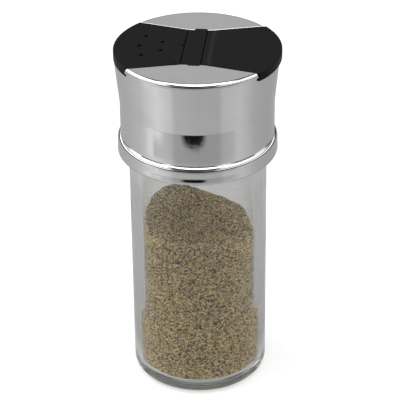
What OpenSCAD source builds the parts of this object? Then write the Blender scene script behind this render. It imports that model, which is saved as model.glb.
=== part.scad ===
// Spice bottle: clear screw-neck jar with ground pepper and a chrome cap with two flip-up flaps.
// Millimetres. Origin at the centre of the base, +Z up, +X towards the pour flap.

/* [Jar] */
// Outside radius of the straight body
jar_r = 21.5; // [21.4:0.05:21.7]
// Radius of the rounded heel at the foot of the body
heel_r = 2.8; // [2:0.1:3.5]
// Radius of the inside of the body and neck
cavity_r = 17.85; // [17.6:0.05:17.95]
// Radius of the wider inside just above the floor
heel_cavity_r = 19.0; // [18.5:0.05:19.2]
// Height at which the inside starts to widen towards the floor
heel_cavity_h = 25.5; // [22:0.5:29]
// Thickness of the floor
floor_t = 3; // [2.6:0.1:4]
// Height of the shoulder, where the neck begins
shoulder_z = 80.5; // [80.2:0.1:80.8]
// Height of the lip of the neck
lip_z = 97; // [96.6:0.1:97.4]
// Outside radius of the neck, at the thread's root
neck_r = 19.4; // [19.2:0.05:19.5]

/* [Thread] */
// Rise of the thread in one turn
pitch = 4.2; // [4:0.1:4.6]
// Turns of thread on the neck
neck_turns = 1.5; // [1.25:0.25:1.75]
// Turns of thread in the sleeve
sleeve_turns = 1.25; // [1:0.25:1.5]

/* [Contents] */
// Height of the pepper on the axis
fill_z = 54.6; // [44:0.1:55]
// Tilt of its surface, higher at the left
fill_tilt_x = 9; // [0:1:12]
// Tilt of its surface, higher at the back
fill_tilt_y = 4; // [0:1:12]

/* [Cap shell] */
// Height of the top of the cap
total_h = 113.9; // [113.5:0.1:114.3]
// Height of the underside of the foot ring
foot_z = 79.6; // [79.2:0.1:79.8]
// Height of the foot ring
foot_h = 5.8; // [5:0.1:6.5]
// Outside radius of the foot ring
foot_r = 24.9; // [24.6:0.05:25.1]
// Outside radius of the plain waist
waist_r = 23.9; // [23.8:0.05:24]
// Height at which the wall starts to flare
flare_z = 96.5; // [95:0.5:98]
// Outside radius of the wall just under the rim
flare_r = 25.4; // [25.2:0.05:25.5]
// Outside radius of the rounded rim
rim_r = 25.8; // [25.6:0.05:25.9]
// Inside radius of the shell
shell_bore_r = 22.45; // [22.4:0.05:22.5]

/* [Top] */
// Half width of the bow-tie opening at its waist
tie_waist = 12.1; // [11.9:0.05:12.3]
// Half width of the bow-tie opening at the rim
tie_rim = 16.3; // [15.5:0.1:16.8]
// Hinge line of the left flap
shake_x = -4.45; // [-4.6:0.05:-4.2]
// Hinge line of the right flap
pour_x = 2.95; // [2.7:0.05:3]
// Outside radius of the left flap's lip
shake_lip_r = 25.4; // [25.3:0.05:25.7]
// Outside radius of the right flap's lip
pour_lip_r = 26.0; // [25.7:0.05:26.3]
// Thickness of a flap
flap_t = 1.4; // [1.3:0.05:1.5]
// Radius of the moulded hinge pins
pin_r = 0.4; // [0.36:0.02:0.42]
// Radius of the round recesses seen in the left flap
core_r = 0.65; // [0.5:0.05:1]
// Depth of those recesses
core_d = 0.7; // [0.4:0.1:1.4]

/* [Hidden] */
$fn = 96;
e = 0.01;
chrome = [0.80, 0.80, 0.81];
black = [0.09, 0.09, 0.09];

gap = 0.15;                    // room between a flap and the chrome beside it
axis_z = total_h - 0.7;        // height of both hinge lines
knuckle_r = 0.7;
bore_r = pin_r + 0.05;         // running clearance of the hinge pins
ear_r = 0.85;
knuckle_y = 11.2;              // half length of a knuckle
ear_y = 11.3;                  // inner face of an ear
bridge_y = 12.0;               // half length of the bridge
bridge_l = shake_x + knuckle_r + 0.1;
bridge_rt = pour_x - knuckle_r - 0.1;
bridge_c = (bridge_l + bridge_rt) / 2;
tab_c = 0.3;                   // middle of the end tabs
tab_w = 1.7;                   // half width of the end tabs
plate_t = 1.0;                 // thickness of the chrome segments
plate_z = total_h - plate_t;
flap_z = total_h - flap_t;     // underside of a flap
deck_top = flap_z - 0.2;
deck_t = 1.4;
deck_z = deck_top - deck_t;
deck_r = shell_bore_r - 0.1;
deck_bore_r = 21.0;
notch_z = total_h - 2.8;       // floor of the rim notches under the lips
lip_under = notch_z + 0.12;
gasket_z = lip_z + 0.02;
gasket_t = 1.2;
ledge_z = gasket_z + gasket_t + 0.02;
sleeve_top = ledge_z + 1.26;
sleeve_foot = shoulder_z + 0.5;
sleeve_r = shell_bore_r - 0.05;
sleeve_bore_r = neck_r + 1.4;
neck_crest_r = neck_r + 1.1;
sleeve_crest_r = neck_r + 0.35;
thread_z = shoulder_z + 6.5;
mesh_drop = 1.3;               // the sleeve's ridge runs this far under the neck's ridge
peg_r = 1.45;
hole_r = 1.75;
plug_w = 0.9;
key_n = 8;

// five sifter holes: three on an outer arc and two on an inner one
sifter = [for (a = [-22, 0, 22]) [-17.4 * cos(a), 17.4 * sin(a)],
          for (a = [-15, 15]) [-11.1 * cos(a), 11.1 * sin(a)]];
dimple = [shake_x + 0.2, 1];
dimple_r = 0.5;
rim_b = 1.25;                  // radius of the rounded rim's section

function arc(cx, cy, r, a0, a1, n = 6) =
    [for (i = [0:n]) let (a = a0 + (a1 - a0) * i / n) [cx + r * cos(a), cy + r * sin(a)]];

// half width of the bow-tie at a distance from the centre line
function tie_w(x) = tie_waist + (tie_rim - tie_waist) * max(0, abs(x) - 3.6) / (19.3 - 3.6);

// radius of the jar's inside at a height, above the fillet of its floor
function cavity(z) = let (h = heel_cavity_h - z, m = heel_cavity_h - floor_t - 2)
    cavity_r + (heel_cavity_r - cavity_r) * (1 - exp(-h / 12)) / (1 - exp(-m / 12));

// outside radius of the cap wall along the flare
function flare(t) = waist_r + (flare_r - waist_r) * t;

// ---------------------------------------------------------------- shared shapes

// Helical ridge of a screw thread. Its ends run out into the wall that carries it.
module ridge(wall_r, crest_r, foot_hw, crest_hw, z0, a0, turns) {
    out = crest_r > wall_r ? 1 : -1;
    emb = wall_r - out * 0.4;
    hw = foot_hw + (foot_hw - crest_hw) * 0.4 / abs(crest_r - wall_r);
    step = 12;
    n = ceil(turns * 360 / step);
    pts = [for (i = [0:n]) let (a = a0 + turns * 360 * i / n,
                                z = z0 + pitch * a / 360,
                                k = min(1, i / 3, (n - i) / 3),
                                rc = emb + (crest_r - emb) * max(k, 0.12),
                                c = hw + (crest_hw - hw) * max(k, 0.12),
                                q = out > 0 ? [[emb, -hw], [rc, -c], [rc, c], [emb, hw]]
                                            : [[rc, -c], [emb, -hw], [emb, hw], [rc, c]])
               for (p = q) [p[0] * cos(a), p[0] * sin(a), z + p[1]]];
    faces = concat([[3, 2, 1, 0]], [[4 * n, 4 * n + 1, 4 * n + 2, 4 * n + 3]],
        [for (i = [0:n - 1], j = [0:3], h = [0, 1])
            let (p = 4 * i + j, q = 4 * i + (j + 1) % 4, r = 4 * (i + 1) + (j + 1) % 4, s = 4 * (i + 1) + j)
            h == 0 ? [p, q, r] : [p, r, s]]);
    polyhedron(pts, faces);
}

// Bow-tie outline, grown outwards by g
module tie(g = 0) {
    polygon([[-28, -tie_w(28) - g], [-3.6, -tie_waist - g], [3.6, -tie_waist - g], [28, -tie_w(28) - g],
             [28, tie_w(28) + g], [3.6, tie_waist + g], [-3.6, tie_waist + g], [-28, tie_w(28) + g]]);
}

// Outline of a flap on the +X side, from its hinge line at x0 outwards
module flap_outline(x0) {
    x1 = x0 + 1.1;
    polygon([[x0, -knuckle_y], [x1, -knuckle_y], [x1, gap - tie_w(x1)], [28, gap - tie_w(28)],
             [28, tie_w(28) - gap], [x1, tie_w(x1) - gap], [x1, knuckle_y], [x0, knuckle_y]]);
}

// Solid of revolution whose top outer edge is rounded: trims a flap's lip
module lip_round(r, under) {
    rotate_extrude() polygon(concat([[0, under], [r - 0.35, under]], arc(r - 0.35, under + 0.35, 0.35, -90, 0, 4),
        arc(r - 0.7, total_h - 0.7, 0.7, 0, 90, 6), [[0, total_h]]));
}

// D-shaped outline of the pour opening, inset by g
module pour_outline(g = 0) {
    x0 = pour_x + 2.25;
    intersection() {
        circle(r = 19.1 - g);
        polygon([[x0 + g, g - 9.8], [28, g - 16], [28, 16 - g], [x0 + g, 9.8 - g]]);
    }
}

// Flap on the +X side: plate, hinge knuckle, moulded pins and lip
module flap_body(x0, lip_r) {
    intersection() {
        translate([0, 0, flap_z]) linear_extrude(flap_t + 1) flap_outline(x0);
        lip_round(lip_r, flap_z - 1);
    }
    intersection() {
        translate([0, 0, lip_under]) linear_extrude(3) flap_outline(x0);
        lip_round(lip_r, lip_under);
        difference() {
            translate([0, 0, lip_under - 1]) cylinder(r = 30, h = 6);
            translate([0, 0, lip_under - 2]) cylinder(r = 23.75, h = 8);
        }
    }
    translate([x0, knuckle_y, axis_z]) rotate([90, 0, 0]) cylinder(r = knuckle_r, h = 2 * knuckle_y);
    translate([x0, bridge_y - 0.05, axis_z]) rotate([90, 0, 0]) cylinder(r = pin_r, h = 2 * bridge_y - 0.1);
}

// ---------------------------------------------------------------- the pieces

module jar() {
    color([0.85, 0.87, 0.86, 0.4]) union() {
        rotate_extrude() polygon(concat(
            [[0, 0.9], [14.6, 0.6], [15.8, 0]],
            arc(jar_r - heel_r, heel_r, heel_r, -90, 0, 8),
            arc(jar_r - 1.2, shoulder_z - 1.2, 1.2, 0, 90, 5),
            [[neck_r + 0.5, shoulder_z], [neck_r, shoulder_z + 0.5]],
            arc(neck_r - 0.7, lip_z - 0.7, 0.7, 0, 90, 5),
            arc(cavity_r + 0.5, lip_z - 0.5, 0.5, 90, 180, 4),
            [for (i = [0:9]) let (z = heel_cavity_h - (heel_cavity_h - floor_t - 2) * i / 10) [cavity(z), z]],
            arc(heel_cavity_r - 2, floor_t + 2, 2, 0, -90, 6),
            [[0, floor_t]]));
        ridge(neck_r, neck_crest_r, 0.85, 0.35, thread_z, 0, neck_turns);
    }
}

// The heap stands a hair inside the wall of the jar
module ground_pepper() {
    w = 0.12;
    color([0.42, 0.39, 0.33]) difference() {
        rotate_extrude() polygon(concat(
            [[0, floor_t]],
            arc(heel_cavity_r - w - 2, floor_t + 2, 2, -90, 0, 6),
            [for (i = [9:-1:0]) let (z = heel_cavity_h - (heel_cavity_h - floor_t - 2) * i / 10) [cavity(z) - w, z]],
            [[cavity_r - w, 62], [0, 62]]));
        translate([0, 0, fill_z]) rotate([fill_tilt_y, fill_tilt_x, 0]) translate([-40, -40, 0]) cube([80, 80, 40]);
    }
}

module mouth_gasket() {
    color([0.90, 0.90, 0.87]) translate([0, 0, gasket_z]) difference() {
        cylinder(r = sleeve_bore_r - 0.2, h = gasket_t);
        translate([0, 0, -1]) cylinder(r = cavity_r + 0.15, h = gasket_t + 2);
    }
}

// Inner sleeve of the cap: thread, ledge for the seal, snap bead and keys that lock it in the shell
module thread_sleeve() {
    color(black) union() {
        rotate_extrude() polygon([
            [sleeve_bore_r + 0.5, sleeve_foot], [sleeve_r - 0.3, sleeve_foot], [sleeve_r, sleeve_foot + 0.5],
            [sleeve_r, 92], [sleeve_r + 0.3, 92.3], [sleeve_r + 0.3, 92.9], [sleeve_r, 93.2],
            [sleeve_r, sleeve_top], [cavity_r + 0.25, sleeve_top], [cavity_r + 0.25, ledge_z],
            [sleeve_bore_r, ledge_z], [sleeve_bore_r, sleeve_foot + 0.5]]);
        ridge(sleeve_bore_r, sleeve_crest_r, 0.85, 0.35, thread_z - mesh_drop, 20, sleeve_turns);
        for (i = [0:key_n - 1]) rotate([0, 0, 360 * (i + 0.5) / key_n])
            translate([sleeve_r - 0.3, -0.8, sleeve_foot + 1]) cube([0.65, 1.6, 6]);
    }
}

module cap_shell() {
    foot_top = foot_z + foot_h;
    steps = 8;
    color(chrome) difference() {
        rotate_extrude() polygon(concat(
            [[shell_bore_r, foot_z]],
            arc(foot_r - 0.5, foot_z + 0.5, 0.5, -90, 0, 4),
            arc(foot_r - 1.1, foot_top - 1.1, 1.1, 0, 70, 6),
            [[waist_r, foot_top + 0.15]],
            [for (i = [0:steps]) [flare(i / steps), flare_z + (total_h - 1.75 - flare_z) * i / steps]],
            arc(rim_r - rim_b, total_h - rim_b, rim_b, -15, 90, 9),
            [[0, total_h], [0, plate_z], [flare_r - 2.1, plate_z], [flare_r - 1.6, plate_z - 0.5]],
            [for (i = [steps - 1:-1:0]) [flare(i / steps) - waist_r + shell_bore_r,
                                         flare_z + (total_h - 1.75 - flare_z) * i / steps]],
            [[shell_bore_r, 93.2], [shell_bore_r + 0.3, 92.9], [shell_bore_r + 0.3, 92.3], [shell_bore_r, 92]]));
        // bow-tie opening, notched down through the rim at both ends
        translate([0, 0, notch_z]) linear_extrude(5) tie();
        // pockets for the end tabs of the bridge
        translate([tab_c - tab_w - 0.1, -tie_waist - 0.75, plate_z - 1]) cube([2 * tab_w + 0.2, 2 * tie_waist + 1.5, 4]);
        // keyways
        for (i = [0:key_n - 1]) rotate([0, 0, 360 * (i + 0.5) / key_n])
            translate([shell_bore_r - 1, -0.9, foot_z - 1]) cube([1.4, 1.8, sleeve_foot + 7.2 - foot_z + 1]);
    }
}

module sifter_deck() {
    color(black) difference() {
        union() {
            translate([0, 0, deck_z]) cylinder(r = deck_r, h = deck_t);
            translate([0, 0, sleeve_top]) difference() {
                cylinder(r = deck_r, h = deck_z - sleeve_top + e);
                translate([0, 0, -1]) cylinder(r = deck_bore_r, h = deck_z - sleeve_top + 1);
            }
            // pads that bear up against the chrome segments
            difference() {
                translate([0, 0, deck_top - e]) cylinder(r = deck_r, h = plate_z - deck_top + e);
                translate([0, 0, deck_top - 1]) linear_extrude(4) tie(1.2);
            }
        }
        for (p = sifter) translate([p[0], p[1], deck_z - 1]) cylinder(r = hole_r, h = deck_t + 2);
        translate([0, 0, deck_z - 1]) linear_extrude(deck_t + 2) pour_outline();
        for (s = [-1, 1]) translate([bridge_c, 7 * s, deck_z - 1]) cylinder(r = 1.35, h = deck_t + 2);
    }
}

// Centre strip with hinge ears, snap posts into the deck and end tabs under the chrome's edge
module hinge_bridge() {
    color(black) difference() {
        union() {
            translate([bridge_l, -bridge_y, deck_top]) cube([bridge_rt - bridge_l, 2 * bridge_y, total_h - deck_top]);
            translate([tab_c - tab_w, -tie_waist - 0.65, plate_z + 0.05]) cube([2 * tab_w, 2 * tie_waist + 1.3, plate_t - 0.05]);
            for (s = [-1, 1]) {
                for (x = [shake_x, pour_x]) intersection() {
                    translate([x, s > 0 ? bridge_y : -ear_y, axis_z]) rotate([90, 0, 0]) cylinder(r = ear_r, h = bridge_y - ear_y);
                    translate([-20, -20, total_h - 5]) cube([40, 40, 5]);
                }
                translate([shake_x, s > 0 ? ear_y : -bridge_y, axis_z - ear_r]) cube([pour_x - shake_x, bridge_y - ear_y, ear_r + 0.7]);
                translate([bridge_c, 7 * s, deck_z - 1]) cylinder(r = 1.3, h = deck_t + 1.5);
                translate([bridge_c, 7 * s, deck_z - 1.1]) cylinder(r1 = 1.1, r2 = 1.65, h = 1.05);
            }
        }
        for (x = [shake_x, pour_x]) translate([x, 15, axis_z]) rotate([90, 0, 0]) cylinder(r = bore_r, h = 30);
    }
}

// Left flap: five pegs plug the sifter holes, with a round recess over each, and a dimple completes the fan
module shake_flap() {
    color(black) difference() {
        union() {
            mirror([1, 0, 0]) flap_body(-shake_x, shake_lip_r);
            for (p = sifter) translate([p[0], p[1], flap_z - 1]) cylinder(r = peg_r, h = 1.5);
        }
        for (p = sifter) translate([p[0], p[1], total_h - core_d]) cylinder(r = core_r, h = 4);
        translate([dimple[0], dimple[1], total_h - 1]) cylinder(r = dimple_r, h = 4);
    }
}

// Right flap: a ring on its underside plugs the pour opening, and a shallow step runs beside the hinge
module pour_flap() {
    color(black) difference() {
        union() {
            flap_body(pour_x, pour_lip_r);
            translate([0, 0, flap_z - 1]) linear_extrude(1.4) difference() {
                pour_outline(0.3);
                pour_outline(0.3 + plug_w);
            }
        }
        translate([0, 20, 0]) rotate([90, 0, 0]) linear_extrude(40) polygon([
            [pour_x, total_h - 0.22], [4, total_h - 0.22], [4.7, total_h + e], [4.7, total_h + 1], [pour_x, total_h + 1]]);
    }
}

jar();
ground_pepper();
mouth_gasket();
thread_sleeve();
cap_shell();
sifter_deck();
hinge_bridge();
shake_flap();
pour_flap();
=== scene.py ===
"""Looks of the spice bottle: glass jar, ground pepper, plated cap and its black flip-top insert.
Shapes are worked out in millimetres in the part's own frame and scaled to metres as they are made."""
import bpy
import math
import random
import numpy as np
from mathutils import Matrix, Vector, noise


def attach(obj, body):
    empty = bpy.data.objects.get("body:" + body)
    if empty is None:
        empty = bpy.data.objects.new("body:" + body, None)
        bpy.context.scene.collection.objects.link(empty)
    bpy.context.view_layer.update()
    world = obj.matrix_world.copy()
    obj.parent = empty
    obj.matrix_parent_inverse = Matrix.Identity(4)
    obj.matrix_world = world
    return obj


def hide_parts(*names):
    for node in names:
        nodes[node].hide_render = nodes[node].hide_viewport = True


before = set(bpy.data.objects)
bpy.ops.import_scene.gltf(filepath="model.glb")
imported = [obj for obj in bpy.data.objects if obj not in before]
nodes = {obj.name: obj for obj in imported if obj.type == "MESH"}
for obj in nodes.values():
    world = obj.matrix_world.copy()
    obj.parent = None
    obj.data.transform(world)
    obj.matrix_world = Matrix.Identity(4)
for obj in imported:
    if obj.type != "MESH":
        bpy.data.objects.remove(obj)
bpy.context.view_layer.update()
scene = bpy.context.scene
MM = 0.001

# ------------------------------------------------------------------ sizes (mm), as in the CAD model
JAR_R, HEEL_R, CAV_R, HEEL_CAV_R, HEEL_CAV_H, FLOOR_T = 21.5, 2.8, 17.85, 19.0, 25.5, 3.0
SHOULDER, NECK_R, LIP_Z = 80.5, 19.4, 97.0
PITCH, THREAD_Z, NECK_TURNS = 4.2, 87.0, 1.5
H = 113.9
FOOT_Z, FOOT_TOP, FOOT_R, WAIST_R = 79.6, 85.4, 24.9, 23.9
FLARE_Z, FLARE_TOP, FLARE_R, RIM_R = 96.5, H - 1.75, 25.4, 25.79
BORE_R = 22.45
SHAKE_X, POUR_X = -4.45, 2.95
AXIS_Z = H - 0.7
PLATE_Z, FLAP_Z, NOTCH_Z = H - 1.0, H - 1.4, H - 2.8
LIP_UNDER = NOTCH_Z + 0.07
DECK_TOP = FLAP_Z - 0.2
DECK_Z = DECK_TOP - 1.4
GAP = 0.42
BRIDGE_L, BRIDGE_R = SHAKE_X + 0.8, POUR_X - 0.8
BRIDGE_C = (BRIDGE_L + BRIDGE_R) / 2
TAB_C, TAB_W = 0.3, 1.7
SIFTER = [(-17.4 * math.cos(math.radians(a)), 17.4 * math.sin(math.radians(a))) for a in (-22, 0, 22)]
SIFTER += [(-11.1 * math.cos(math.radians(a)), 11.1 * math.sin(math.radians(a))) for a in (-15, 15)]
DIMPLE = (SHAKE_X + 0.2, 1.0)


def tie_w(x):
    """Half width of the bow-tie opening at a distance from the centre line."""
    return 12.1 + 4.2 * max(0.0, abs(x) - 3.6) / 15.7


def flare(t):
    return WAIST_R + (FLARE_R - WAIST_R) * t


def arc(cx, cz, r, a0, a1, n):
    return [(cx + r * math.cos(math.radians(a0 + (a1 - a0) * i / n)),
             cz + r * math.sin(math.radians(a0 + (a1 - a0) * i / n))) for i in range(n + 1)]


# ------------------------------------------------------------------ mesh helpers
def new_object(name, verts, faces):
    me = bpy.data.meshes.new(name)
    me.from_pydata([tuple(v) for v in verts], [], faces)
    me.update()
    ob = bpy.data.objects.new(name, me)
    scene.collection.objects.link(ob)
    return ob


def apply_modifiers(ob):
    dg = bpy.context.evaluated_depsgraph_get()
    dg.update()
    me = bpy.data.meshes.new_from_object(ob.evaluated_get(dg))
    old = ob.data
    ob.modifiers.clear()
    ob.data = me
    bpy.data.meshes.remove(old)


def boolean(ob, tool, op):
    m = ob.modifiers.new("boolean", "BOOLEAN")
    m.object, m.operation, m.solver = tool, op, "EXACT"
    apply_modifiers(ob)
    me = tool.data
    bpy.data.objects.remove(tool)
    bpy.data.meshes.remove(me)


def lathe(name, prof, angles, closed, wobble=None):
    """Turns a profile of (r, z) about Z. closed joins its last point to its first; else it starts and ends on the axis."""
    n, m = len(angles), len(prof)
    cs = [(math.cos(a), math.sin(a)) for a in angles]
    verts, faces, start = [], [], []
    for i, (r, z) in enumerate(prof):
        start.append(len(verts))
        if r < 1e-6:
            verts.append((0, 0, z))
            continue
        for j, (c, s) in enumerate(cs):
            q = wobble(i, angles[j], r, z) if wobble else r
            verts.append((q * c, q * s, z))
    for i in range(m if closed else m - 1):
        k = (i + 1) % m
        a_pole, b_pole = prof[i][0] < 1e-6, prof[k][0] < 1e-6
        for j in range(n):
            j2 = (j + 1) % n
            if a_pole:
                faces.append((start[i], start[k] + j2, start[k] + j))
            elif b_pole:
                faces.append((start[i] + j, start[i] + j2, start[k]))
            else:
                faces.append((start[i] + j, start[i] + j2, start[k] + j2, start[k] + j))
    return new_object(name, verts, faces)


def loft(name, loops):
    """Closed solid through loops with the same number of points, capped at both ends."""
    n = len(loops[0])
    verts = [p for loop in loops for p in loop]
    faces = [tuple(range(n - 1, -1, -1)), tuple((len(loops) - 1) * n + j for j in range(n))]
    for i in range(len(loops) - 1):
        for j in range(n):
            j2 = (j + 1) % n
            faces.append((i * n + j, i * n + j2, (i + 1) * n + j2, (i + 1) * n + j))
    return new_object(name, verts, faces)


def rod(name, axis, at, r, lo, hi, n=40, edge=0.0):
    """Round bar along Y or Z, with its ends rounded by edge."""
    prof = [(r, lo), (r, hi)]
    if edge:
        prof = [(p[0], p[1]) for p in arc(r - edge, lo + edge, edge, -90, 0, 4)]
        prof += [(p[0], p[1]) for p in arc(r - edge, hi - edge, edge, 0, 90, 4)]
    loops = []
    for q, z in prof:
        loop = []
        for j in range(n):
            a = 2 * math.pi * j / n
            u, v = q * math.cos(a), q * math.sin(a)
            loop.append((at[0] + u, at[1] + v, z) if axis == "Z" else (at[0] + v, z, at[1] + u))
        loops.append(loop)
    return loft(name, loops)


def finish_mesh(ob, angle=32, weighted=True):
    """Scales to metres, shades smooth with sharp edges, and keeps big flats flat."""
    me = ob.data
    me.transform(Matrix.Scale(MM, 4))
    me.shade_smooth()
    me.set_sharp_from_angle(angle=math.radians(angle))
    if weighted:
        m = ob.modifiers.new("normals", "WEIGHTED_NORMAL")
        m.mode, m.weight, m.keep_sharp, m.thresh = "FACE_AREA", 50, True, 0.001
        apply_modifiers(ob)
    return ob


def ring(n, extra=()):
    a = {round(2 * math.pi * j / n, 9) for j in range(n)}
    for e in extra:
        a.add(round(e % (2 * math.pi), 9))
    return sorted(a)


def smooth(t):
    t = min(1.0, max(0.0, t))
    return t * t * (3 - 2 * t)


# ------------------------------------------------------------------ materials
def material(name):
    m = bpy.data.materials.new(name)
    m.use_nodes = True
    nt = m.node_tree
    nt.nodes.clear()
    out = nt.nodes.new("ShaderNodeOutputMaterial")
    p = nt.nodes.new("ShaderNodeBsdfPrincipled")
    nt.links.new(p.outputs["BSDF"], out.inputs["Surface"])
    co = nt.nodes.new("ShaderNodeTexCoord")
    return m, nt, p, co.outputs["Object"], out


def noise_tex(nt, co, scale, detail=2.0, rough=0.5, distort=0.0):
    t = nt.nodes.new("ShaderNodeTexNoise")
    t.inputs["Scale"].default_value = scale
    t.inputs["Detail"].default_value = detail
    t.inputs["Roughness"].default_value = rough
    t.inputs["Distortion"].default_value = distort
    nt.links.new(co, t.inputs["Vector"])
    return t


def voronoi_tex(nt, co, scale, feature="F1", randomness=1.0):
    t = nt.nodes.new("ShaderNodeTexVoronoi")
    t.feature = feature
    t.inputs["Scale"].default_value = scale
    t.inputs["Randomness"].default_value = randomness
    nt.links.new(co, t.inputs["Vector"])
    return t


def ramp(nt, fac, stops):
    r = nt.nodes.new("ShaderNodeValToRGB")
    el = r.color_ramp.elements
    for e, (pos, col) in zip((el[0], el[1]), (stops[0], stops[-1])):
        e.position, e.color = pos, (*col, 1)
    for pos, col in stops[1:-1]:
        el.new(pos).color = (*col, 1)
    nt.links.new(fac, r.inputs["Fac"])
    return r


def remap(nt, val, a, b, c, d):
    m = nt.nodes.new("ShaderNodeMapRange")
    for k, v in zip(("From Min", "From Max", "To Min", "To Max"), (a, b, c, d)):
        m.inputs[k].default_value = v
    nt.links.new(val, m.inputs["Value"])
    return m.outputs["Result"]


def bump(nt, height, strength, distance, under=None):
    b = nt.nodes.new("ShaderNodeBump")
    b.inputs["Strength"].default_value = strength
    b.inputs["Distance"].default_value = distance
    nt.links.new(height, b.inputs["Height"])
    if under is not None:
        nt.links.new(under, b.inputs["Normal"])
    return b.outputs["Normal"]


def mix_color(nt, fac, a, b, mode="MIX"):
    m = nt.nodes.new("ShaderNodeMix")
    m.data_type, m.blend_type = "RGBA", mode
    for sock, v in (("Factor_Float", fac), ("A_Color", a), ("B_Color", b)):
        s = next(i for i in m.inputs if i.identifier == sock)
        if isinstance(v, (int, float)):
            s.default_value = v
        elif isinstance(v, tuple):
            s.default_value = (*v, 1)
        else:
            nt.links.new(v, s)
    return next(o for o in m.outputs if o.identifier == "Result_Color")


def glass_material():
    m, nt, p, co, out = material("clear_glass")
    p.inputs["Base Color"].default_value = (0.985, 0.99, 0.987, 1)
    p.inputs["Transmission Weight"].default_value = 1.0
    p.inputs["IOR"].default_value = 1.5
    smear = noise_tex(nt, co, 90.0, 4.0, 0.6, 0.6)
    nt.links.new(remap(nt, smear.outputs["Fac"], 0.35, 0.75, 0.004, 0.03), p.inputs["Roughness"])
    wave = noise_tex(nt, co, 55.0, 1.0, 0.4)
    nt.links.new(bump(nt, wave.outputs["Fac"], 0.25, 0.0004), p.inputs["Normal"])
    v = nt.nodes.new("ShaderNodeVolumeAbsorption")
    v.inputs["Color"].default_value = (0.79, 0.80, 0.795, 1)
    v.inputs["Density"].default_value = 70.0
    nt.links.new(v.outputs["Volume"], out.inputs["Volume"])
    return m


def chrome_material():
    m, nt, p, co, out = material("plated_plastic")
    p.inputs["Metallic"].default_value = 1.0
    tone = noise_tex(nt, co, 140.0, 3.0, 0.5)
    col = ramp(nt, tone.outputs["Fac"], [(0.3, (0.61, 0.61, 0.613)), (0.7, (0.64, 0.638, 0.638))])
    nt.links.new(col.outputs["Color"], p.inputs["Base Color"])
    wipe = noise_tex(nt, co, 260.0, 5.0, 0.65, 0.8)
    nt.links.new(remap(nt, wipe.outputs["Fac"], 0.4, 0.75, 0.03, 0.06), p.inputs["Roughness"])
    peel = noise_tex(nt, co, 420.0, 2.0, 0.5)
    nt.links.new(bump(nt, peel.outputs["Fac"], 0.04, 0.00012), p.inputs["Normal"])
    return m


def black_material(name="black_plastic", lift=1.0, ridge=None):
    m, nt, p, co, out = material(name)
    cloud = noise_tex(nt, co, 180.0, 3.0, 0.55)
    speck = noise_tex(nt, co, 3200.0, 2.0, 0.5)
    a = ramp(nt, cloud.outputs["Fac"], [(0.3, (0.0036 * lift,) * 3), (0.7, (0.0054 * lift,) * 3)])
    b = ramp(nt, speck.outputs["Fac"], [(0.35, (0.003 * lift,) * 3), (0.75, (0.0075 * lift,) * 3)])
    base = mix_color(nt, 0.5, a.outputs["Color"], b.outputs["Color"])
    if ridge is not None:
        # painted highlight: a lighter stripe added along a ridge parallel to Y, standing in for the light its slope
        # catches
        where = nt.nodes.new("ShaderNodeSeparateXYZ")
        nt.links.new(co, where.inputs[0])
        along = remap(nt, where.outputs["X"], ridge - 0.0012, ridge + 0.0012, 0.0, 1.0)
        painted_ridge_highlight = ramp(nt, along, [(0.0, (0.0,) * 3), (0.35, (0.004,) * 3), (0.55, (0.0085,) * 3), (0.75, (0.003,) * 3), (1.0, (0.0,) * 3)])
        base = mix_color(nt, 1.0, base, painted_ridge_highlight.outputs["Color"], "ADD")
    nt.links.new(base, p.inputs["Base Color"])
    p.inputs["Specular IOR Level"].default_value = 0.07
    nt.links.new(remap(nt, cloud.outputs["Fac"], 0.3, 0.7, 0.40, 0.50), p.inputs["Roughness"])
    grain = voronoi_tex(nt, co, 2600.0, "SMOOTH_F1")
    n1 = bump(nt, grain.outputs["Distance"], 0.25, 0.00006)
    nt.links.new(bump(nt, speck.outputs["Fac"], 0.2, 0.00005, n1), p.inputs["Normal"])
    return m


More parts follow.
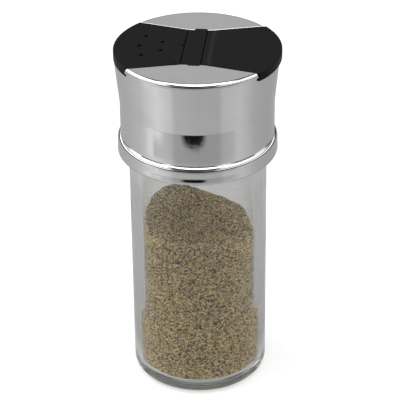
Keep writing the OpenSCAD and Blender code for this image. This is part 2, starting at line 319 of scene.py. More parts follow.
def pepper_material():
    m, nt, p, co, out = material("pepper")
    cells = voronoi_tex(nt, co, 2750.0)
    fine = voronoi_tex(nt, co, 4200.0)
    pick = []
    for tex in (cells, fine):
        sep = nt.nodes.new("ShaderNodeSeparateColor")
        nt.links.new(tex.outputs["Color"], sep.inputs["Color"])
        pick.append(sep.outputs["Red"])
    one = ramp(nt, pick[0], [
        (0.0, (0.015, 0.012, 0.008)), (0.22, (0.03, 0.023, 0.013)), (0.32, (0.25, 0.184, 0.083)), (0.55, (0.43, 0.316, 0.143)),
        (0.8, (0.70, 0.525, 0.25)), (1.0, (0.95, 0.75, 0.41))])
    two = ramp(nt, pick[1], [(0.0, (0.05, 0.036, 0.016)), (0.5, (0.36, 0.265, 0.12)), (1.0, (0.72, 0.55, 0.27))])
    both = mix_color(nt, 0.06, one.outputs["Color"], two.outputs["Color"])
    drift = noise_tex(nt, co, 160.0, 3.0, 0.6)
    shade = ramp(nt, drift.outputs["Fac"], [(0.3, (0.79, 0.785, 0.76)), (0.7, (0.95, 0.94, 0.88))])
    tinted = mix_color(nt, 1.0, both, shade.outputs["Color"], "MULTIPLY")
    where = nt.nodes.new("ShaderNodeSeparateXYZ")
    nt.links.new(co, where.inputs[0])
    # painted shade: the up-facing top is darker than the sides, most of all along the front
    face, lie = nt.nodes.new("ShaderNodeNewGeometry"), nt.nodes.new("ShaderNodeSeparateXYZ")
    nt.links.new(face.outputs["Normal"], lie.inputs[0])
    along = ramp(nt, remap(nt, where.outputs["Y"], -0.012, 0.004, 0.0, 1.0), [(0.0, (0.74,) * 3), (1.0, (0.95,) * 3)])
    painted_top_shade = mix_color(nt, remap(nt, lie.outputs["Z"], 0.35, 0.8, 0.0, 1.0), (1.0, 1.0, 1.0), along.outputs["Color"])
    tinted = mix_color(nt, 1.0, tinted, painted_top_shade, "MULTIPLY")
    # painted light: the lowest half millimetre of the pepper, its underside included, is painted pale grey, standing in
    # for light seen through the base
    nt.links.new(mix_color(nt, remap(nt, where.outputs["Z"], 0.0032, 0.0036, 0.75, 0.0), tinted, (0.40, 0.40, 0.39)), p.inputs["Base Color"])
    p.inputs["Roughness"].default_value = 0.85
    p.inputs["Specular IOR Level"].default_value = 0.2
    nt.links.new(bump(nt, cells.outputs["Distance"], 0.45, 0.0002), p.inputs["Normal"])
    return m


def foam_material():
    m, nt, p, co, out = material("seal_foam")
    cells = voronoi_tex(nt, co, 2400.0)
    col = ramp(nt, cells.outputs["Distance"], [(0.0, (0.70, 0.70, 0.66)), (0.7, (0.86, 0.86, 0.83))])
    nt.links.new(col.outputs["Color"], p.inputs["Base Color"])
    p.inputs["Roughness"].default_value = 0.8
    nt.links.new(bump(nt, cells.outputs["Distance"], 0.5, 0.0001), p.inputs["Normal"])
    return m


GLASS, CHROME, BLACK, PEPPER, FOAM = glass_material(), chrome_material(), black_material(), pepper_material(), foam_material()
BLACK_RIDGE = black_material("black_plastic_ridge", 1.0, 0.0045)


def place(ob, mat, node, body):
    ob.data.materials.clear()
    ob.data.materials.append(mat)
    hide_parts(node)
    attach(ob, body)


# ------------------------------------------------------------------ jar
def cavity(z):
    """Radius of the jar's inside at a height."""
    if z >= FLOOR_T + 2.0:
        h, m = (math.sqrt(d * d + 1) - 1 for d in (max(0.0, HEEL_CAV_H - z), HEEL_CAV_H - FLOOR_T - 2.0))
        return CAV_R + (HEEL_CAV_R - CAV_R) * (1 - math.exp(-h / 12)) / (1 - math.exp(-m / 12))
    d = FLOOR_T + 2.0 - z
    return HEEL_CAV_R - 2.0 + math.sqrt(max(0.0, 2.0 ** 2 - d * d))


def thread_height(a, z):
    """Height of the thread's ridge above the neck at an angle (radians) and a height."""
    deg = math.degrees(a) % 360
    best = 0.0
    for k in range(3):
        t = deg + 360 * k
        if t > NECK_TURNS * 360:
            break
        run = smooth(min(t, NECK_TURNS * 360 - t) / 36)
        d = abs(z - THREAD_Z - PITCH * t / 360)
        best = max(best, 1.08 * run * smooth((0.9 - d) / 0.6))
    return best


def make_jar():
    p = [(0, 0.95), (4, 0.93), (9, 0.82), (13, 0.66), (14.3, 0.58), (14.75, 0.5), (15.2, 0.26), (15.55, 0.08), (15.9, 0.0), (17.2, 0.0)]
    p += arc(JAR_R - HEEL_R, HEEL_R, HEEL_R, -90, 0, 14)
    p += [(JAR_R, z) for z in np.linspace(3.2, SHOULDER - 1.5, 30)]
    p += arc(JAR_R - 1.2, SHOULDER - 1.2, 1.2, 0, 90, 8)
    p += [(p_[0], p_[1]) for p_ in arc(NECK_R + 0.5, SHOULDER + 0.5, 0.5, 270, 180, 5)]
    neck0 = len(p)
    p += [(NECK_R, z) for z in np.arange(SHOULDER + 0.7, LIP_Z - 0.75, 0.1)]
    neck1 = len(p)
    p += arc(NECK_R - 0.7, LIP_Z - 0.7, 0.7, 0, 90, 8)
    p += arc(CAV_R + 0.5, LIP_Z - 0.5, 0.5, 90, 180, 6)
    p += [(CAV_R, z) for z in np.linspace(LIP_Z - 1, HEEL_CAV_H + 0.4, 24)]
    p += [(cavity(z), z) for z in np.linspace(HEEL_CAV_H, FLOOR_T + 2.4, 30)]
    p += arc(HEEL_CAV_R - 2.0, FLOOR_T + 2.0, 2.0, 0, -90, 10)
    p += [(15, FLOOR_T), (10, FLOOR_T), (5, FLOOR_T), (0, FLOOR_T)]

    def wobble(i, a, r, z):
        return r + thread_height(a, z) if neck0 <= i < neck1 else r

    ob = lathe("jar_glass", p, ring(288), False, wobble)
    finish_mesh(ob, 75, False)
    place(ob, GLASS, "jar", "jar")
    return ob


# ------------------------------------------------------------------ pepper
def heap(x, y):
    """Height of the pepper's top surface."""
    z = 54.1 - 0.14 * x
    z += 2.9 * math.exp(-((x + 12) ** 2 + (y - 12) ** 2) / 160)
    z += 1.2 * math.exp(-((x - 15) ** 2 + (y - 9.5) ** 2) / 40)
    z += 0.55 * noise.noise(Vector((x * 0.22, y * 0.22, 3.1))) + 0.28 * noise.noise(Vector((x * 0.6, y * 0.6, 9.7)))
    return z


def grain(p):
    """0 on top of a grain, 1 in the gap between grains."""
    d = noise.voronoi(Vector(p) * 1.75)[0][0]
    return min(1.0, d / 0.75)


def make_pepper():
    n, rows, rings = 400, 176, 56
    low = FLOOR_T + 0.12
    verts, faces = [], []
    for i in range(rows + 1):
        t = i / rows
        for j in range(n):
            a = 2 * math.pi * j / n
            c, s = math.cos(a), math.sin(a)
            top = heap(17.2 * c, 17.2 * s) - 0.15
            z = low + (top - low) * (t + 0.0) if t > 0 else low
            r = cavity(z)
            e = (z - (top - 0.9)) / 0.9
            if e > 0:
                r -= 0.75 * (1 - math.sqrt(max(0.0, 1 - e * e)))
            r -= 0.06 + 0.15 * grain((r * c, r * s, z))
            verts.append((r * c, r * s, z))
    edge = rows * n
    for k in range(1, rings):
        for j in range(n):
            x0, y0, _ = verts[edge + j]
            f = 1 - k / rings
            x, y = x0 * f, y0 * f
            z = heap(x, y)
            z -= 0.28 * grain((x, y, z)) - 0.06
            verts.append((x, y, z))
    verts.append((0, 0, heap(0, 0)))
    top = len(verts) - 1
    verts.append((0, 0, low))
    bottom = len(verts) - 1
    for i in range(rows + rings - 1):
        for j in range(n):
            j2 = (j + 1) % n
            faces.append((i * n + j, i * n + j2, (i + 1) * n + j2, (i + 1) * n + j))
    last = (rows + rings - 1) * n
    for j in range(n):
        faces.append((last + j, last + (j + 1) % n, top))
        faces.append(((j + 1) % n, j, bottom))
    ob = new_object("pepper_heap", verts, faces)
    finish_mesh(ob, 180, False)
    place(ob, PEPPER, "ground_pepper", "jar")
    return ob


def make_loose_grains():
    rnd = random.Random(11)
    g = (1 + 5 ** 0.5) / 2
    ico = [(-1, g, 0), (1, g, 0), (-1, -g, 0), (1, -g, 0), (0, -1, g), (0, 1, g), (0, -1, -g), (0, 1, -g),
           (g, 0, -1), (g, 0, 1), (-g, 0, -1), (-g, 0, 1)]
    tri = [(0, 11, 5), (0, 5, 1), (0, 1, 7), (0, 7, 10), (0, 10, 11), (1, 5, 9), (5, 11, 4), (11, 10, 2), (10, 7, 6),
           (7, 1, 8), (3, 9, 4), (3, 4, 2), (3, 2, 6), (3, 6, 8), (3, 8, 9), (4, 9, 5), (2, 4, 11), (6, 2, 10), (8, 6, 7), (9, 8, 1)]
    verts, faces = [], []
    for _ in range(1500):
        r, a = 16.9 * math.sqrt(rnd.random()), rnd.random() * 2 * math.pi
        x, y = r * math.cos(a), r * math.sin(a)
        size = rnd.uniform(0.11, 0.24)
        sc = [size * rnd.uniform(0.7, 1.35) for _ in range(3)]
        turn = Matrix.Rotation(rnd.random() * 6.3, 3, "X") @ Matrix.Rotation(rnd.random() * 6.3, 3, "Z")
        at = Vector((x, y, heap(x, y) + 0.02))
        base = len(verts)
        for v in ico:
            q = Vector((v[0] * sc[0], v[1] * sc[1], v[2] * sc[2])) / 1.9 * rnd.uniform(0.85, 1.15)
            verts.append(tuple(at + turn @ q))
        faces += [tuple(base + i for i in t) for t in tri]
    ob = new_object("pepper_grains", verts, faces)
    finish_mesh(ob, 180, False)
    ob.data.materials.append(PEPPER)
    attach(ob, "jar")
    return ob


# ------------------------------------------------------------------ chrome shell
def tie_loop(g, z, reach=28.0):
    w = tie_w(reach)
    pts = [(-reach, -w - g), (-3.6, -12.1 - g), (3.6, -12.1 - g), (reach, -w - g),
           (reach, w + g), (3.6, 12.1 + g), (-3.6, 12.1 + g), (-reach, w + g)]
    return [(x, y, z) for x, y in pts]


def tab_loop(g, z):
    """Outline of the bridge's end tabs from one end to the other, inset by g."""
    q = [(TAB_C + TAB_W + 0.25 - g, 11.5), (TAB_C + TAB_W + 0.25 - g, 12.1), (TAB_C + TAB_W - 0.25 - g, 12.75 - g),
         (TAB_C - TAB_W + 0.25 + g, 12.75 - g), (TAB_C - TAB_W - 0.25 + g, 12.1), (TAB_C - TAB_W - 0.25 + g, 11.5)]
    return [(x, y, z) for x, y in q + [(x, -y) for x, y in reversed(q)]]


def box_tool(x0, x1, y0, y1, z0, z1, spin=0.0):
    c, s = math.cos(spin), math.sin(spin)
    loops = [[(c * x - s * y, s * x + c * y, z) for x, y in ((x0, y0), (x1, y0), (x1, y1), (x0, y1))] for z in (z0, z1)]
    return loft("tool", loops)


def make_shell():
    p = [(BORE_R + 0.25, FOOT_Z), (BORE_R + 0.6, FOOT_Z)]
    p += arc(FOOT_R - 0.55, FOOT_Z + 0.55, 0.55, -90, 0, 7)
    p += [(FOOT_R - 0.062 * smooth(t), FOOT_Z + 0.62 + 1.9 * t) for t in np.linspace(0, 1, 13)]
    p += [(FOOT_R - 0.062, FOOT_TOP - 2.0)]
    p += arc(FOOT_R - 1.862, FOOT_TOP - 1.65, 1.8, 0, 60, 16)
    p += [(23.72, FOOT_TOP - 0.05), (23.62, FOOT_TOP + 0.1), (23.62, FOOT_TOP + 0.28), (23.72, FOOT_TOP + 0.4), (WAIST_R, FOOT_TOP + 0.44)]
    p += [(WAIST_R, z) for z in (FOOT_TOP + 0.8, 88, 91, 94, 96.2)]
    p += [(flare(t), FLARE_Z + (FLARE_TOP - 0.1 - FLARE_Z) * t) for t in np.linspace(0, 1, 27)]
    p += arc(RIM_R - 1.25, H - 1.25, 1.25, -16, 90, 20)
    p += [(RIM_R - 1.33, H), (20.0, H), (14.5, H), (9.0, H), (9.0, PLATE_Z), (FLARE_R - 2.1, PLATE_Z), (FLARE_R - 1.7, PLATE_Z - 0.4)]
    p += [(flare(t) - WAIST_R + BORE_R, FLARE_Z + (FLARE_TOP - FLARE_Z) * t) for t in np.linspace(0.94, 0, 10)]
    p += [(BORE_R, 93.3), (BORE_R + 0.3, 92.9), (BORE_R + 0.3, 92.3), (BORE_R, 91.9), (BORE_R, FOOT_Z + 0.25)]
    seam = [math.radians(s + d) for s in (90, 270) for d in (-0.62, -0.26, 0.0, 0.26, 0.62)]

    def wobble(i, a, r, z):
        """Thin parting line of the mould at the front and the back."""
        if r < 23.6 or not FOOT_Z + 0.5 < z < FLARE_TOP - 0.4:
            return r
        d = min(abs(math.degrees(a) - 90), abs(math.degrees(a) - 270))
        return r + (0.015 if d < 0.01 else 0.0)

    ob = lathe("chrome_shell", p, ring(288, seam), True, wobble)
    e = 0.2
    loops = [tie_loop(-0.5 * (1 - math.cos(t)), NOTCH_Z + 0.5 * (1 - math.sin(t))) for t in np.linspace(math.pi / 2, 0, 6)] + [tie_loop(0, H - e)]
    loops += [tie_loop(e * (1 - math.cos(t)), H - e + e * math.sin(t)) for t in np.linspace(0.25, math.pi / 2, 6)]
    loops += [tie_loop(e + 0.001, H + 2)]
    boolean(ob, loft("tool", loops), "DIFFERENCE")
    boolean(ob, loft("tool", [tab_loop(-0.1, PLATE_Z - 1), tab_loop(-0.1, H + 2)]), "DIFFERENCE")
    for i in range(8):
        boolean(ob, box_tool(BORE_R - 1, BORE_R + 0.4, -0.9, 0.9, FOOT_Z - 1, 88.2, math.radians(45 * i + 22.5)), "DIFFERENCE")
    finish_mesh(ob, 32)
    place(ob, CHROME, "cap_shell", "cap")
    return ob


# ------------------------------------------------------------------ flaps
def flap_loop(x0, rad, g, ga, z, side):
    """Outline of a flap at one height, inset by g along its sides and by ga at its curved lip."""
    x1, ky, k = x0 + 1.1 + g, 11.2 - g, 1.035

    def edge(x):
        return tie_w(x) - GAP + 0.27 * smooth((x - 15) / 4.5) - k * g

    lo, hi = x1, rad
    for _ in range(60):
        mid = (lo + hi) / 2
        if math.hypot(mid, edge(mid)) < rad - ga:
            lo = mid
        else:
            hi = mid
    xi = lo
    t = math.atan2(edge(xi), xi)
    half = [(x0, ky), (x1, ky), (x1, edge(x1))]
    half += [(x1 + (xi - x1) * i / 10, edge(x1 + (xi - x1) * i / 10)) for i in range(1, 10)]
    rim = [((rad - ga) * math.cos(-t + 2 * t * i / 72), (rad - ga) * math.sin(-t + 2 * t * i / 72)) for i in range(73)]
    pts = [(x, -y) for x, y in half] + rim + [(x, y) for x, y in reversed(half)]
    if side < 0:
        pts = [(-x, y) for x, y in reversed(pts)]
    return [(x, y, z) for x, y in pts]


def flap_solid(name, x0, rad, side):
    e, w, low = 0.26, 0.55, 0.16
    loops = [flap_loop(x0, rad, 0.5 * (1 - math.sin(t)), low * (1 - min(1.0, 1.6 * math.sin(t))), LIP_UNDER + 0.5 * (1 - math.cos(t)), side)
             for t in np.linspace(0, math.pi / 2, 7)]
    loops += [flap_loop(x0, rad, 0, 0, H - e, side)]
    loops += [flap_loop(x0, rad, e * (1 - math.cos(t)), w * (1 - math.cos(t)), H - e + e * math.sin(t), side)
              for t in np.linspace(0.2, math.pi / 2, 7)]
    ob = loft(name, loops)
    boolean(ob, rod("tool", "Z", (0, 0), 23.75, LIP_UNDER - 2, FLAP_Z, 160), "DIFFERENCE")
    boolean(ob, rod("tool", "Y", (side * x0, AXIS_Z), 0.69, -11.18, 11.18, 40), "UNION")
    for s in (-1, 1):
        a, b = sorted((s * 11.0, s * 11.93))
        boolean(ob, rod("tool", "Y", (side * x0, AXIS_Z), 0.40, a, b, 28), "UNION")
    return ob


def hole_tool(x, y, r, bottom, rim):
    """Round pocket with a softened mouth."""
    loops = []
    for q, z in [(r - 0.08, bottom), (r, bottom + 0.12), (r, H - rim)] + [(r + rim * (1 - math.cos(t)), H - rim + rim * math.sin(t)) for t in (0.5, 1.0, 1.57)] + [(r + rim, H + 1)]:
        loops.append([(x + q * math.cos(2 * math.pi * j / 36), y + q * math.sin(2 * math.pi * j / 36), z) for j in range(36)])
    return loft("tool", loops)


def make_shake_flap():
    ob = flap_solid("shake_flap_moulding", -SHAKE_X, 25.39, -1)
    for x, y in SIFTER:
        boolean(ob, rod("tool", "Z", (x, y), 1.45, FLAP_Z - 1.0, FLAP_Z + 0.5, 40, 0.15), "UNION")
    for x, y in SIFTER:
        dish = [(0.5, H - 0.15), (0.78, H - 0.12), (1.0, H - 0.05), (1.13, H + 0.02), (1.25, H + 0.3)]
        boolean(ob, loft("tool", [[(x - 0.45 + q * math.cos(2 * math.pi * j / 36), y + q * math.sin(2 * math.pi * j / 36), z) for j in range(36)]
                                  for q, z in dish]), "DIFFERENCE")
        boolean(ob, hole_tool(x, y, 0.66, H - 0.7, 0.1), "DIFFERENCE")
    boolean(ob, hole_tool(DIMPLE[0], DIMPLE[1], 0.46, H - 0.9, 0.1), "DIFFERENCE")
    finish_mesh(ob, 32)
    place(ob, BLACK, "shake_flap", "shake_flap")
    return ob


def d_loop(g, z):
    """D-shaped outline of the pour opening, inset by g."""
    x0, rad = POUR_X + 2.25 + g, 19.1 - g
    m = (16 - 9.8) / (28 - (POUR_X + 2.25))

    def edge(x):
        return 9.8 + m * (x - POUR_X - 2.25) - g * 1.035

    lo, hi = x0, rad
    for _ in range(60):
        mid = (lo + hi) / 2
        if math.hypot(mid, edge(mid)) < rad:
            lo = mid
        else:
            hi = mid
    t = math.atan2(edge(lo), lo)
    side = [(x0 + (lo - x0) * i / 6, edge(x0 + (lo - x0) * i / 6)) for i in range(6)]
    pts = [(x, -y) for x, y in side] + [(rad * math.cos(-t + 2 * t * i / 36), rad * math.sin(-t + 2 * t * i / 36)) for i in range(37)]
    pts += [(x, y) for x, y in reversed(side)]
    return [(x, y, z) for x, y in pts]


def make_pour_flap():
    ob = flap_solid("pour_flap_moulding", POUR_X, 25.99, 1)
    # shallow step beside the hinge, with a soft ridge where it ends
    prof = [(POUR_X - 2, H + 1), (POUR_X - 2, H - 0.22)]
    prof += [(3.95 + 0.75 * t, H - 0.22 + 0.23 * smooth(t)) for t in np.linspace(0, 1, 9)]
    prof += [(4.71, H + 1)]
    boolean(ob, loft("tool", [[(x, -20, z) for x, z in prof], [(x, 20, z) for x, z in prof]]), "DIFFERENCE")
    ringed = loft("tool", [d_loop(0.45, FLAP_Z - 1.0), d_loop(0.3, FLAP_Z - 0.85), d_loop(0.3, FLAP_Z + 0.5)])
    inner = loft("tool_in", [d_loop(1.05, FLAP_Z - 1.5), d_loop(1.05, FLAP_Z - 1.0), d_loop(1.2, FLAP_Z - 0.85), d_loop(1.2, FLAP_Z + 1.0)])
    boolean(ringed, inner, "DIFFERENCE")
    boolean(ob, ringed, "UNION")
    finish_mesh(ob, 32)
    place(ob, BLACK_RIDGE, "pour_flap", "pour_flap")
    return ob


def bridge_loop(g, z):
    l, r = BRIDGE_L + g, BRIDGE_R - g
    half = [(r, 11.3 + g), (POUR_X + 0.75 - g, 11.3 + g), (POUR_X + 0.75 - g, 12.0 - g), (TAB_C + TAB_W + 0.25 - g, 12.0 - g),
            (TAB_C + TAB_W - 0.25 - g, 12.72 - g), (TAB_C - TAB_W + 0.25 + g, 12.72 - g), (TAB_C - TAB_W - 0.25 + g, 12.0 - g),
            (SHAKE_X - 0.75 + g, 12.0 - g), (SHAKE_X - 0.75 + g, 11.3 + g), (l, 11.3 + g)]
    pts = half + [(l, 4), (l, -4)] + [(x, -y) for x, y in reversed(half)] + [(r, -4), (r, 4)]
    return [(x, y, z) for x, y in pts]


def make_bridge():
    e = 0.16
    loops = [bridge_loop(0.05, DECK_TOP + 0.02), bridge_loop(0, DECK_TOP + 0.07), bridge_loop(0, H - e)]
    loops += [bridge_loop(e * (1 - math.cos(t)), H - e + e * math.sin(t)) for t in np.linspace(0.3, math.pi / 2, 5)]
    ob = loft("bridge_moulding", loops)
    for x in (SHAKE_X, POUR_X):
        boolean(ob, rod("tool", "Y", (x, AXIS_Z), 0.45, -14, 14, 28), "DIFFERENCE")
    for s in (-1, 1):
        post = [(1.1, DECK_Z - 1.1), (1.6, DECK_Z - 0.12), (1.3, DECK_Z - 0.05), (1.3, DECK_TOP + 0.4)]
        loops = [[(BRIDGE_C + q * math.cos(2 * math.pi * j / 36), 7 * s + q * math.sin(2 * math.pi * j / 36), z) for j in range(36)] for q, z in post]
        boolean(ob, loft("tool", loops), "UNION")
    finish_mesh(ob, 32)
    place(ob, BLACK, "hinge_bridge", "cap")
    return ob


make_jar()
make_pepper()
make_loose_grains()
make_shell()
make_shake_flap()
make_pour_flap()
make_bridge()
for name, mat in (("mouth_gasket", FOAM), ("thread_sleeve", BLACK), ("sifter_deck", BLACK)):
    me = nodes[name].data
    me.materials.clear()
    me.materials.append(mat)

# ------------------------------------------------------------------ stage, light and camera
def make_floor():
    """Plain pale floor. What the glass and the chrome see of it is shaded softly by direction and distance, as by a
    studio's panels around the table."""
    s = 4.0
    me = bpy.data.meshes.new("floor")
    me.from_pydata([(-s, -s, -0.0001), (s, -s, -0.0001), (s, s, -0.0001), (-s, s, -0.0001)], [], [(0, 1, 2, 3)])
    ob = bpy.data.objects.new("floor", me)
    scene.collection.objects.link(ob)
    m = bpy.data.materials.new("floor")
    m.use_nodes = True
    nt = m.node_tree
    nt.nodes.clear()
    out = nt.nodes.new("ShaderNodeOutputMaterial")
    co = nt.nodes.new("ShaderNodeTexCoord")
    turn = nt.nodes.new("ShaderNodeMapping")
    turn.inputs["Rotation"].default_value = (0, 0, math.radians(84.2))
    nt.links.new(co.outputs["Object"], turn.inputs["Vector"])
    around = nt.nodes.new("ShaderNodeTexGradient")
    around.gradient_type = "RADIAL"
    nt.links.new(turn.outputs["Vector"], around.inputs["Vector"])
    reach = nt.nodes.new("ShaderNodeVectorMath")
    reach.operation = "LENGTH"
    nt.links.new(co.outputs["Object"], reach.inputs[0])

    def by_angle(stops, k=1.0):
        return ramp(nt, around.outputs["Fac"], [(0.5 + a / 360, (v * k,) * 3) for a, v in stops]).outputs["Color"]

    def by_reach(stops):
        far = remap(nt, reach.outputs["Value"], 0.1, 0.3, 0.0, 1.0)
        return ramp(nt, far, [((d - 0.1) / 0.2, (v,) * 3) for d, v in stops]).outputs["Color"]

    far = by_angle([(-180, 0.85), (-140, 0.92), (-120, 1.03), (-88, 1.24), (-74, 1.5), (-58, 1.73), (-38, 1.43), (-31, 1.12), (0, 1.0), (29, 1.0),
                    (36, 1.22), (62, 1.33), (88, 1.0), (120, 0.88), (180, 0.82)], 0.35)
    near = by_angle([(-180, 0.33), (-162, 0.32), (-145, 0.28), (-100, 0.29), (-70, 0.36), (70, 0.36), (100, 0.29), (145, 0.27), (162, 0.32), (180, 0.33)])
    low = by_angle([(-80, 1.0), (-74, 1.14), (-68, 1.14), (-62, 0.72), (-45, 0.80), (0, 0.77), (40, 0.82), (50, 0.85), (57, 1.0)])
    lower = by_angle([(-80, 1.0), (-74, 1.14), (-55, 1.14), (-46, 0.80), (0, 0.77), (40, 0.82), (50, 0.85), (57, 1.0)])
    low = mix_color(nt, by_reach([(0.186, 0.0), (0.2, 1.0)]), low, lower)
    low = mix_color(nt, by_reach([(0.1745, 0.0), (0.178, 1.0)]), (1.0, 1.0, 1.0), low)
    far = mix_color(nt, 1.0, far, low, "MULTIPLY")
    both = mix_color(nt, by_reach([(0.127, 0.0), (0.141, 1.0)]), near, far)
    spot = mix_color(nt, 1.0, by_angle([(-29, 0.0), (-12, 1.0), (1, 1.0), (17, 0.0)]),
                     by_reach([(0.184, 0.0), (0.199, 1.0), (0.208, 1.0), (0.213, 0.0)]), "MULTIPLY")
    spot = ramp(nt, spot, [(0.22, (0.0,) * 3), (0.66, (1.0,) * 3)]).outputs["Color"]
    dull = nt.nodes.new("ShaderNodeBsdfDiffuse")
    # the front of the room falls off into the dark beyond the table's edge
    edge = mix_color(nt, 1.0, by_angle([(-75, 0.0), (-35, 1.0), (35, 1.0), (75, 0.0)]), ramp(nt, remap(nt, reach.outputs["Value"], 0.55, 0.75, 0.0, 1.0), [(0.0, (0.0,) * 3), (1.0, (1.0,) * 3)]).outputs["Color"], "MULTIPLY")
    both = mix_color(nt, edge, both, (0.03, 0.03, 0.03))
    nt.links.new(mix_color(nt, spot, both, (0.005, 0.005, 0.005)), dull.inputs["Color"])
    # painted light: the floor right under the glass glows for all but camera rays, to light the base from below
    painted_glow = nt.nodes.new("ShaderNodeEmission")
    under = remap(nt, reach.outputs["Value"], 0.021, 0.036, 1.0, 0.0)
    nt.links.new(ramp(nt, under, [(0.0, (0.0,) * 3), (1.0, (0.27,) * 3)]).outputs["Color"], painted_glow.inputs["Color"])
    seen = nt.nodes.new("ShaderNodeAddShader")
    nt.links.new(dull.outputs[0], seen.inputs[0])
    nt.links.new(painted_glow.outputs[0], seen.inputs[1])
    pale = nt.nodes.new("ShaderNodeBsdfDiffuse")
    pale.inputs["Color"].default_value = (0.93, 0.93, 0.93, 1)
    lift = nt.nodes.new("ShaderNodeEmission")
    lift.inputs["Color"].default_value = (0.97, 0.97, 0.97, 1)
    soft = nt.nodes.new("ShaderNodeMixShader")
    soft.inputs[0].default_value = 0.6
    nt.links.new(pale.outputs[0], soft.inputs[1])
    nt.links.new(lift.outputs[0], soft.inputs[2])
    mix = nt.nodes.new("ShaderNodeMixShader")
    path = nt.nodes.new("ShaderNodeLightPath")
    nt.links.new(path.outputs["Is Camera Ray"], mix.inputs[0])
    nt.links.new(seen.outputs[0], mix.inputs[1])
    nt.links.new(soft.outputs[0], mix.inputs[2])
    nt.links.new(mix.outputs[0], out.inputs["Surface"])
    me.materials.append(m)


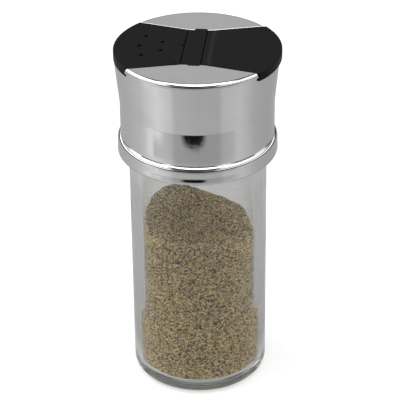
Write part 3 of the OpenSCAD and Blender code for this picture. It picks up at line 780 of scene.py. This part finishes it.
def make_world():
    """Overhead soft box that leans to the viewer's side, a grey room behind the bottle and a dark one in front."""
    w = bpy.data.worlds.new("studio")
    scene.world = w
    w.use_nodes = True
    nt = w.node_tree
    nt.nodes.clear()
    out = nt.nodes.new("ShaderNodeOutputWorld")
    co = nt.nodes.new("ShaderNodeTexCoord")
    sep = nt.nodes.new("ShaderNodeSeparateXYZ")
    nt.links.new(co.outputs["Generated"], sep.inputs[0])
    lean = nt.nodes.new("ShaderNodeMapping")
    lean.inputs["Rotation"].default_value = (math.radians(-6), 0, 0)
    nt.links.new(co.outputs["Generated"], lean.inputs["Vector"])
    top = nt.nodes.new("ShaderNodeSeparateXYZ")
    nt.links.new(lean.outputs["Vector"], top.inputs[0])
    back = ramp(nt, sep.outputs["Z"], [(0.0, (0.02,) * 3), (0.26, (0.02,) * 3), (0.36, (0.60, 0.60, 0.597)), (0.62, (0.615, 0.613, 0.607)),
                                       (0.72, (0.2,) * 3), (1.0, (0.2,) * 3)])
    wide = nt.nodes.new("ShaderNodeMath")
    wide.operation = "ABSOLUTE"
    nt.links.new(sep.outputs["X"], wide.inputs[0])
    front = ramp(nt, sep.outputs["Z"], [(0.0, (0.02,) * 3), (0.24, (0.02,) * 3), (0.30, (0.3,) * 3), (0.54, (0.3,) * 3), (0.60, (0.03,) * 3), (1.0, (0.1,) * 3)])
    front = mix_color(nt, remap(nt, wide.outputs[0], 0.1, 0.3, 0.3, 1.0), (0.02, 0.02, 0.02), front.outputs["Color"])
    room = mix_color(nt, remap(nt, sep.outputs["Y"], 0.15, -0.25, 0.0, 1.0), back.outputs["Color"], front)
    box = ramp(nt, top.outputs["Z"], [(0.865, (0.0,) * 3), (0.905, (1.0,) * 3)])
    tall = ramp(nt, sep.outputs["Z"], [(0.16, (0.0,) * 3), (0.24, (1.0,) * 3), (0.33, (1.0,) * 3), (0.36, (0.0,) * 3), (0.52, (0.0,) * 3), (0.56, (1.0,) * 3), (1.0, (1.0,) * 3)])
    side = mix_color(nt, remap(nt, wide.outputs[0], 0.42, 0.56, 0.0, 1.0), (0.0, 0.0, 0.0), tall.outputs["Color"])
    side = mix_color(nt, remap(nt, sep.outputs["Y"], -0.5, -0.2, 0.8, 1.0), (0.0, 0.0, 0.0), side)
    side = mix_color(nt, remap(nt, sep.outputs["X"], -0.4, 0.4, 1.0, 0.62), (0.0, 0.0, 0.0), side)
    # dark gap between the low and the high panel of each side
    gap = ramp(nt, sep.outputs["Z"], [(0.32, (0.0,) * 3), (0.36, (1.0,) * 3), (0.52, (1.0,) * 3), (0.56, (0.0,) * 3)])
    gap = mix_color(nt, remap(nt, wide.outputs[0], 0.38, 0.46, 0.0, 1.0), (0.0, 0.0, 0.0), gap.outputs["Color"])
    room = mix_color(nt, gap, room, (0.2, 0.2, 0.2))
    sky = nt.nodes.new("ShaderNodeBackground")
    nt.links.new(room, sky.inputs["Color"])
    lamp = nt.nodes.new("ShaderNodeBackground")
    lamp.inputs["Strength"].default_value = 3.4
    nt.links.new(box.outputs["Color"], lamp.inputs["Color"])
    panel = nt.nodes.new("ShaderNodeBackground")
    panel.inputs["Strength"].default_value = 3.4
    nt.links.new(side, panel.inputs["Color"])
    lit = nt.nodes.new("ShaderNodeAddShader")
    nt.links.new(panel.outputs[0], lit.inputs[0])
    nt.links.new(lamp.outputs[0], lit.inputs[1])
    add = nt.nodes.new("ShaderNodeAddShader")
    nt.links.new(sky.outputs[0], add.inputs[0])
    nt.links.new(lit.outputs[0], add.inputs[1])
    plain = nt.nodes.new("ShaderNodeBackground")
    plain.inputs["Color"].default_value = (0.97, 0.97, 0.97, 1)
    mix = nt.nodes.new("ShaderNodeMixShader")
    path = nt.nodes.new("ShaderNodeLightPath")
    nt.links.new(path.outputs["Is Camera Ray"], mix.inputs[0])
    nt.links.new(add.outputs[0], mix.inputs[1])
    nt.links.new(plain.outputs[0], mix.inputs[2])
    nt.links.new(mix.outputs[0], out.inputs["Surface"])


def make_camera():
    e, a, d, f, roll = math.radians(30.5), math.radians(5.8), 0.5978, 1884.0, math.radians(0.645)
    aim = Vector((0, 0, 0.0601))
    back = Vector((math.cos(e) * math.sin(a), -math.cos(e) * math.cos(a), math.sin(e)))
    right = Vector((math.cos(a), math.sin(a), 0))
    up = back.cross(right)
    r2 = right * math.cos(roll) - up * math.sin(roll)
    u2 = up * math.cos(roll) + right * math.sin(roll)
    pos = aim + back * d + right * (1.6 * d / f)
    cam = bpy.data.cameras.new("camera")
    cam.sensor_fit, cam.sensor_width, cam.sensor_height = "HORIZONTAL", 36.0, 36.0
    cam.lens = 36.0 * f / 400.0
    cam.clip_start, cam.clip_end = 0.01, 20.0
    ob = bpy.data.objects.new("camera", cam)
    scene.collection.objects.link(ob)
    ob.matrix_world = Matrix(((r2.x, u2.x, back.x, pos.x), (r2.y, u2.y, back.y, pos.y), (r2.z, u2.z, back.z, pos.z), (0, 0, 0, 1)))
    scene.camera = ob


make_floor()
make_world()
make_camera()
scene.view_settings.view_transform = "Standard"
scene.cycles.max_bounces, scene.cycles.glossy_bounces, scene.cycles.transmission_bounces = 24, 16, 20
scene.cycles.blur_glossy = 0.0
